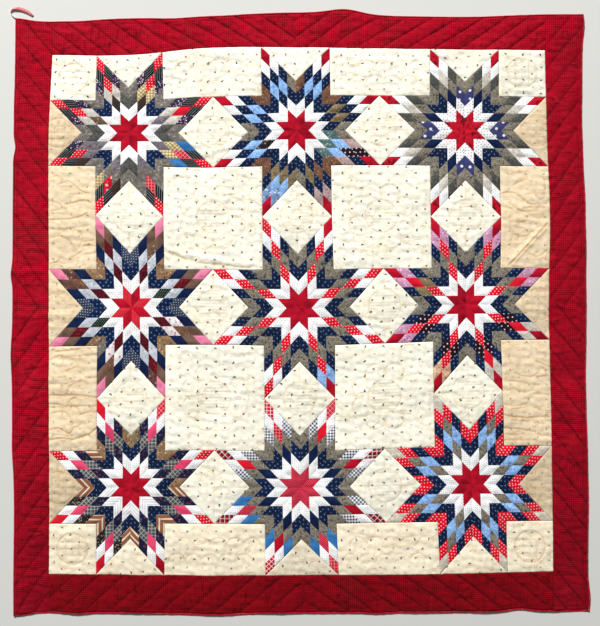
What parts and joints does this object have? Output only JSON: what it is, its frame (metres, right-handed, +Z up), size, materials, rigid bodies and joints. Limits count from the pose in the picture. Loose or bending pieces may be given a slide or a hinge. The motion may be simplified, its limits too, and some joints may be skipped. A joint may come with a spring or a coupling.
{
  "type": "star quilt blanket",
  "caption": "Flat pieced star quilt with a wide border strip on each side, a narrow bound edge and a loose end at one corner.",
  "frame": {"origin": "middle of the quilt's plan, on its flat underside", "axes": "+X to the quilt's right side, +Y to its top edge, +Z up out of its pieced face"},
  "size_m": [1.8612, 1.9516, 0.0087],
  "materials": {
    "pieced_cotton": "matte woven, quilted",
    "border_cotton": "matte woven with fine white pin dots, quilted",
    "binding_cotton": "matte woven",
    "worn_binding_cotton": "matte woven, faded"
  },
  "bodies": {
    "root": {"centre_panel": "pieced_cotton", "border_left": "border_cotton", "border_right": "border_cotton", "border_top": "border_cotton", "border_bottom": "border_cotton", "binding_left": "binding_cotton", "binding_right": "binding_cotton", "binding_top": "binding_cotton", "binding_bottom": "binding_cotton", "loose_binding": "worn_binding_cotton"}
  },
  "joints": []
}
